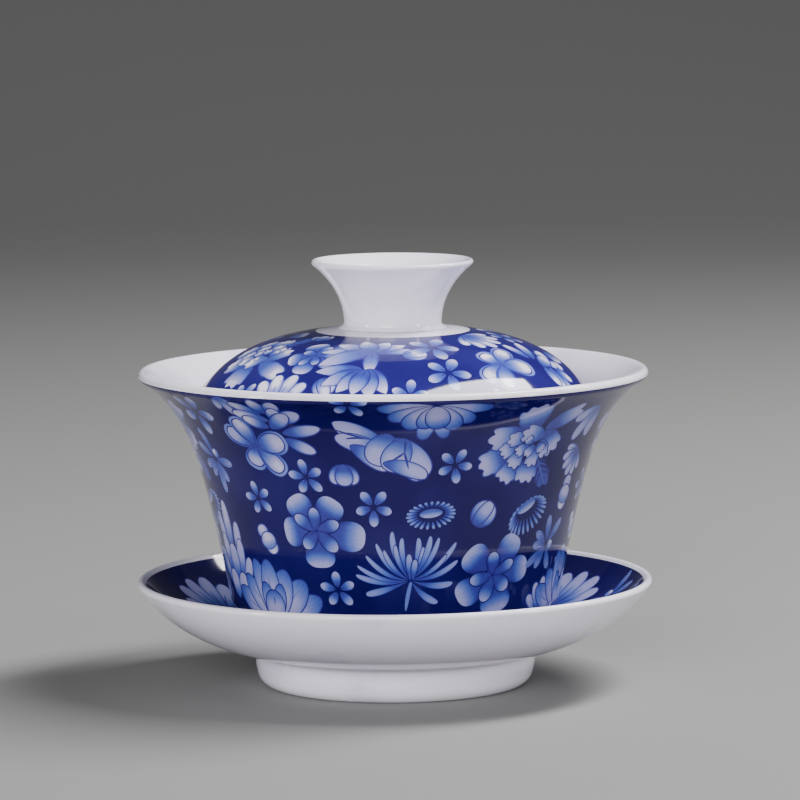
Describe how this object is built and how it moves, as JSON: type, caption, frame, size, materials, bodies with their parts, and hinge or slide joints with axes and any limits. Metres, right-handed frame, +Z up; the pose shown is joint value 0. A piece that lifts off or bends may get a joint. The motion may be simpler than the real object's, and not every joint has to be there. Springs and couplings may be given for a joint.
{
  "type": "gaiwan",
  "caption": "Lidded porcelain tea bowl on its saucer: flared footed bowl, domed lid with a ring knob that sits inside the mouth, and a dished saucer with a well for the foot.",
  "frame": {"origin": "centre of the saucer's foot ring, on the surface that the gaiwan stands on", "axes": "+Z up along the common axis that every piece is turned about; the set is round, so +X and +Y are free"},
  "size_m": [0.1016, 0.1016, 0.0841],
  "materials": {
    "white_glaze": "glossy clear glaze over white porcelain",
    "deep_cobalt": "deep cobalt flower print under glossy clear glaze",
    "bright_cobalt": "bright cobalt flower print under glossy clear glaze"
  },
  "bodies": {
    "saucer": {"saucer": "white_glaze"},
    "bowl": {"bowl": "deep_cobalt"},
    "lid": {"lid": "bright_cobalt", "lid_knob": "white_glaze"}
  },
  "joints": [
    {"name": "bowl_lift", "type": "slide", "parent": "saucer", "child": "bowl", "axis": [0, 0, 1], "range_m": [0, 0.06]},
    {"name": "lid_lift", "type": "slide", "parent": "bowl", "child": "lid", "axis": [0, 0, 1], "range_m": [0, 0.06]}
  ]
}
